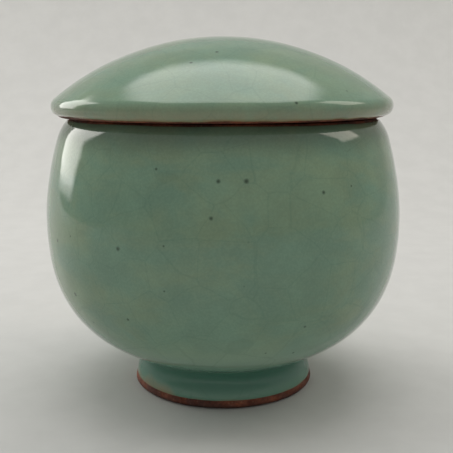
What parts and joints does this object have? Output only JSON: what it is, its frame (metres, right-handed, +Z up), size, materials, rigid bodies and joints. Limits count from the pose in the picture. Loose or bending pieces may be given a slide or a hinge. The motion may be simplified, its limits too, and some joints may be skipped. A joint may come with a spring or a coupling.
{
  "type": "covered rice bowl",
  "caption": "Round-bellied rice bowl on a turned foot ring, with a shallow domed lid whose inner flange drops into the mouth; the lid lifts straight off.",
  "frame": {"origin": "middle of the foot ring's ground face, on the bowl's axis", "axes": "+Z up along the axis of the bowl and lid; the bowl is turned, so +X and +Y are any two square directions"},
  "size_m": [0.12, 0.12, 0.1185],
  "materials": {
    "stoneware_clay": "bare iron-red stoneware, dry and slightly gritty, dark brown where the fire flashed it",
    "celadon_glaze": "glossy grey-green celadon glaze, darker where it pools, with fine iron specks"
  },
  "bodies": {
    "bowl": {"bowl_wall": "stoneware_clay", "foot_ring": "stoneware_clay", "bowl_outer_glaze": "celadon_glaze", "bowl_inner_glaze": "celadon_glaze", "foot_well_glaze": "celadon_glaze"},
    "lid": {"lid_dome": "stoneware_clay", "lid_flange": "stoneware_clay", "lid_outer_glaze": "celadon_glaze", "lid_inner_glaze": "celadon_glaze"}
  },
  "joints": [
    {"name": "lid_lift", "type": "slide", "parent": "bowl", "child": "lid", "axis": [0, 0, 1], "range_m": [0, 0.08]}
  ]
}
